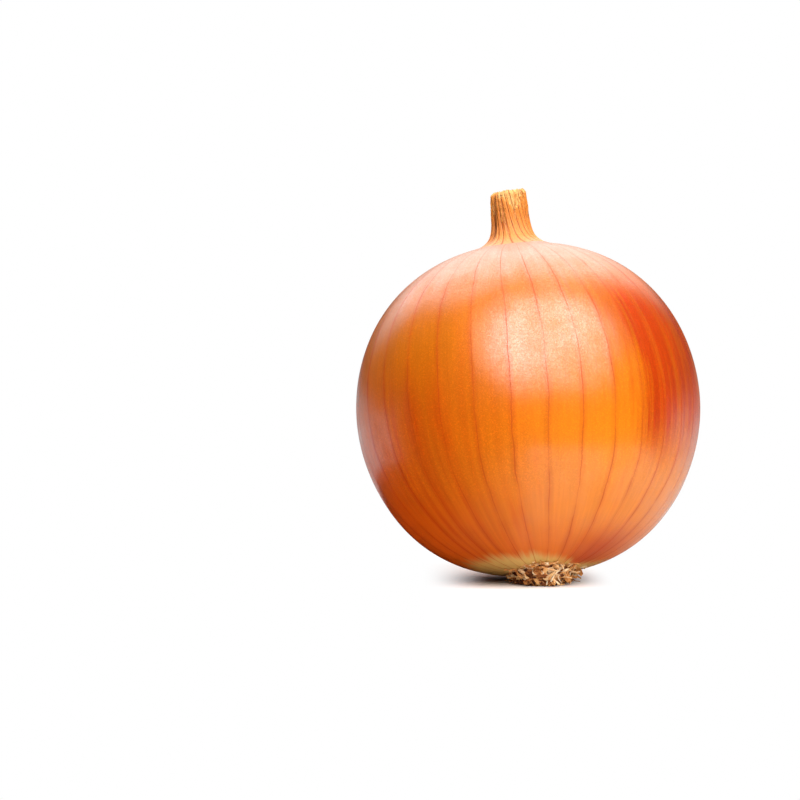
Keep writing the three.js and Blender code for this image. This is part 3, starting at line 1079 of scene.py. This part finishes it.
# %% [markdown]
# ## The root tuft
# The bulb ends in an oval plate of dark cork, which was trimmed flat and is what the onion stands on.
# Its side is painted very dark, as painted shade in the gaps between the roots. From its side grow the
# stumps of many dried roots. The uppermost lie out along the bulb like a collar. Below them are broad,
# curled scales that point every way, with a few thin curls between them, and at the foot are small crumbs,
# painted darker as shade near the ground. Placing each by hand would take days, so each of these families is
# drawn at random, always in the same way, and none reaches below the ground.

# %% The root plate
PLATE_COLUMNS = 160
PLATE_ROWS = 22
PLATE_FOOT = {"middle": np.array([-0.4, -1.5]) * MM, "reach": np.array([4.6, 9.5]) * MM}
PLATE_RIM = {"middle": np.array([0.3, -3.5]) * MM, "reach": np.array([7.9, 10.5]) * MM}
PLATE_BULGE = 0.5 * MM
PLATE_SUNK = 0.4 * MM
# The plate's side is painted very dark: painted shade in the gaps between the roots.
PLATE_SIDE_PAINTED_SHADE = 0.08
FOOT_SHADE = 0.4
PLATE_WAVES = [(5, 0.30, 0.2), (9, 0.22, 1.7), (17, 0.20, 0.9), (31, 0.14, 3.0)]


def oval(angles, middle, reach):
    """Points of an oval seen from above: its middle, and how far it reaches along X and Y."""
    return middle + reach * np.stack([np.cos(angles), np.sin(angles)], -1)


def plate_side(angles, share):
    """Points of the plate's side, from its foot on the ground, share 0, to just inside the bulb, share 1."""
    rim = oval(angles, **PLATE_RIM)
    rim_height = PLATE_SUNK - outline_height(np.linalg.norm(rim, axis=-1), BASE)
    upper = stood(np.concatenate([rim, rim_height[..., None]], -1))
    foot = np.concatenate([oval(angles, **PLATE_FOOT), 0 * angles[..., None]], -1)
    side = foot + (upper - foot) * share[..., None]
    bulge = PLATE_BULGE * np.sin(math.pi * share) + waves(angles + 2.0 * share, PLATE_WAVES)
    side[..., 0] += bulge * np.cos(angles)
    side[..., 1] += bulge * np.sin(angles)
    return side


def plate_mesh():
    """Rings outwards over the flat foot and up the side, closed inside the bulb."""
    turns = np.arange(PLATE_COLUMNS + 1) / PLATE_COLUMNS
    angles = 2 * math.pi * turns[None, :-1]
    outwards = np.linspace(0.05, 0.96, PLATE_ROWS)[:, None, None]
    start = np.array([*PLATE_FOOT["middle"], 0])
    foot_rows = start + (plate_side(angles, 0 * angles) - start) * outwards
    upwards = np.linspace(0, 1, PLATE_ROWS)[:, None]
    side_rows = plate_side(angles + 0 * upwards, upwards + 0 * angles)
    rings = np.concatenate([foot_rows, side_rows])
    end = side_rows[-1].mean(axis=0)
    mesh = closed_body("root_plate", rings, start, end, turns, np.linspace(0.01, 0.99, len(rings)))
    shades = [np.full(foot_rows.size // 3, FOOT_SHADE), np.full(side_rows.size // 3, PLATE_SIDE_PAINTED_SHADE)]
    add_values(mesh, "shade", np.concatenate([*shades, [FOOT_SHADE, PLATE_SIDE_PAINTED_SHADE]]))
    return mesh


ROOT_COLOURS = [
    (0.0, (0.07, 0.018, 0.004, 1)),
    (0.2, (0.30, 0.085, 0.014, 1)),
    (0.45, (0.74, 0.33, 0.09, 1)),
    (0.75, (0.92, 0.56, 0.23, 1)),
    (1.0, (0.95, 0.80, 0.55, 1)),
]
root_finish = strip_material("root_cork", ROOT_COLOURS, 0.8)
plate = add_piece(plate_mesh(), root_finish)
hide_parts("root_tuft")

# %% The dried roots
ROOT_STEPS = 5
ROOT_FAMILIES = {
    "collar": {
        "count": 110,
        "level": (0.88, 1.0),
        "length": (1.2, 2.4),
        "width": (0.4, 0.8),
        "heading": 0.5,
        "lift": 0.15,
        "shade": (0.4, 0.95),
    },
    "scales": {
        "count": 170,
        "level": (0.12, 0.95),
        "length": (1.0, 2.2),
        "width": (0.4, 1.0),
        "heading": 1.5,
        "lift": 0.25,
        "shade": (0.3, 0.95),
    },
    # The crumbs' low shades are painted shade near the ground.
    "crumbs": {
        "count": 200,
        "level": (0.0, 0.4),
        "length": (0.5, 1.2),
        "width": (0.2, 0.4),
        "heading": 2.2,
        "lift": 0.35,
        "shade": (0.0, 0.6),
    },
    "curls": {
        "count": 70,
        "level": (0.3, 1.0),
        "length": (1.4, 2.8),
        "width": (0.1, 0.2),
        "heading": 1.4,
        "lift": 0.45,
        "shade": (0.4, 1.0),
    },
}
ROOT_START = -0.25
ROOT_CURL = 0.3
ROOT_THICKNESS = (0.08, 0.18)
SIDE_SLOPE = 0.7
GROUND_CLEARANCE = 0.2 * MM
TONES_AND_PAINTED_SHADE = [(-70, 0.24, 0.55, 0.22, 0.5), (-112, 0.2, 0.3, 0.2, -0.4), (-150, 0.3, 0.3, 0.3, -0.2)]


def unit(vectors):
    """Vectors of the same directions and of length 1."""
    return vectors / np.linalg.norm(vectors, axis=-1, keepdims=True)


def tone_and_painted_shade(angles, level):
    """How much lighter or darker the roots are at places on the plate's side: soft spots, e^-(a^2 + l^2).

    The lighter spot is a cream patch. The darker ones are painted shade, in a hollow and at the left.
    """
    total = 0 * angles
    for degrees, half_width, middle, half_height, strength in TONES_AND_PAINTED_SHADE:
        away = np.angle(np.exp(1j * (angles - math.radians(degrees)))) / half_width
        total = total + strength * np.exp(-(away**2) - ((level - middle) / half_height) ** 2)
    return total


def root_family(draw, count, level, length, width, heading, lift, shade):
    """Paths, sides, half widths and shades of one family of roots.

    Each root starts inside the plate's side and lies on it at a heading from straight up. Then it lifts off
    and curls towards its tip."""
    angle = 2 * math.pi * (np.arange(count) + draw.uniform(0, 1, count)) / count
    climbed = draw.uniform(*level, count)
    base = plate_side(angle, climbed)
    outwards = np.stack([np.cos(angle), np.sin(angle), 0 * angle], -1)
    sideways = np.stack([-outwards[:, 1], outwards[:, 0], 0 * angle], -1)
    up = np.array([0, 0, 1])
    uphill = outwards * math.sin(SIDE_SLOPE) + up * math.cos(SIDE_SLOPE)
    facing = outwards * math.cos(SIDE_SLOPE) - up * math.sin(SIDE_SLOPE)
    turned = draw.normal(0, heading, count)[:, None]
    lifted = draw.normal(lift, 0.25, count)[:, None]
    way = unit(uphill * np.cos(turned) + sideways * np.sin(turned) + facing * lifted)
    facing = unit(facing - way * (facing * way).sum(-1, keepdims=True))
    sides = np.cross(facing, way)
    share = np.linspace(ROOT_START, 1, ROOT_STEPS)[None, :, None]
    reach = draw.uniform(*length, count)[:, None, None] * MM
    curl = draw.normal(0.1, ROOT_CURL, count)[:, None, None]
    hook = draw.normal(0, ROOT_CURL, count)[:, None, None]
    bent = (facing[:, None] * curl + sides[:, None] * hook) * share**2
    paths = base[:, None] + reach * (way[:, None] * share + bent)
    widths = draw.uniform(*width, (count, 1)) * MM * (1 - 0.55 * np.clip(share[..., 0], 0, 1) ** 2)
    lowest = GROUND_CLEARANCE + widths * np.abs(sides[:, None, 2])
    paths[..., 2] = np.maximum(paths[..., 2], lowest)
    return paths, sides[:, None], widths, draw.uniform(*shade, count) + tone_and_painted_shade(angle, climbed)


def root_stubs():
    """All families of roots as one mesh."""
    draw = np.random.default_rng(5)
    families = [root_family(draw, **family) for family in ROOT_FAMILIES.values()]
    paths, sides, widths, shades = [np.concatenate(part) for part in zip(*families)]
    thickness = draw.uniform(*ROOT_THICKNESS, (len(paths), 1)) * MM
    return strips("root_stubs", paths, sides, widths, thickness, shades)


add_piece(root_stubs(), root_finish, smooth=False)
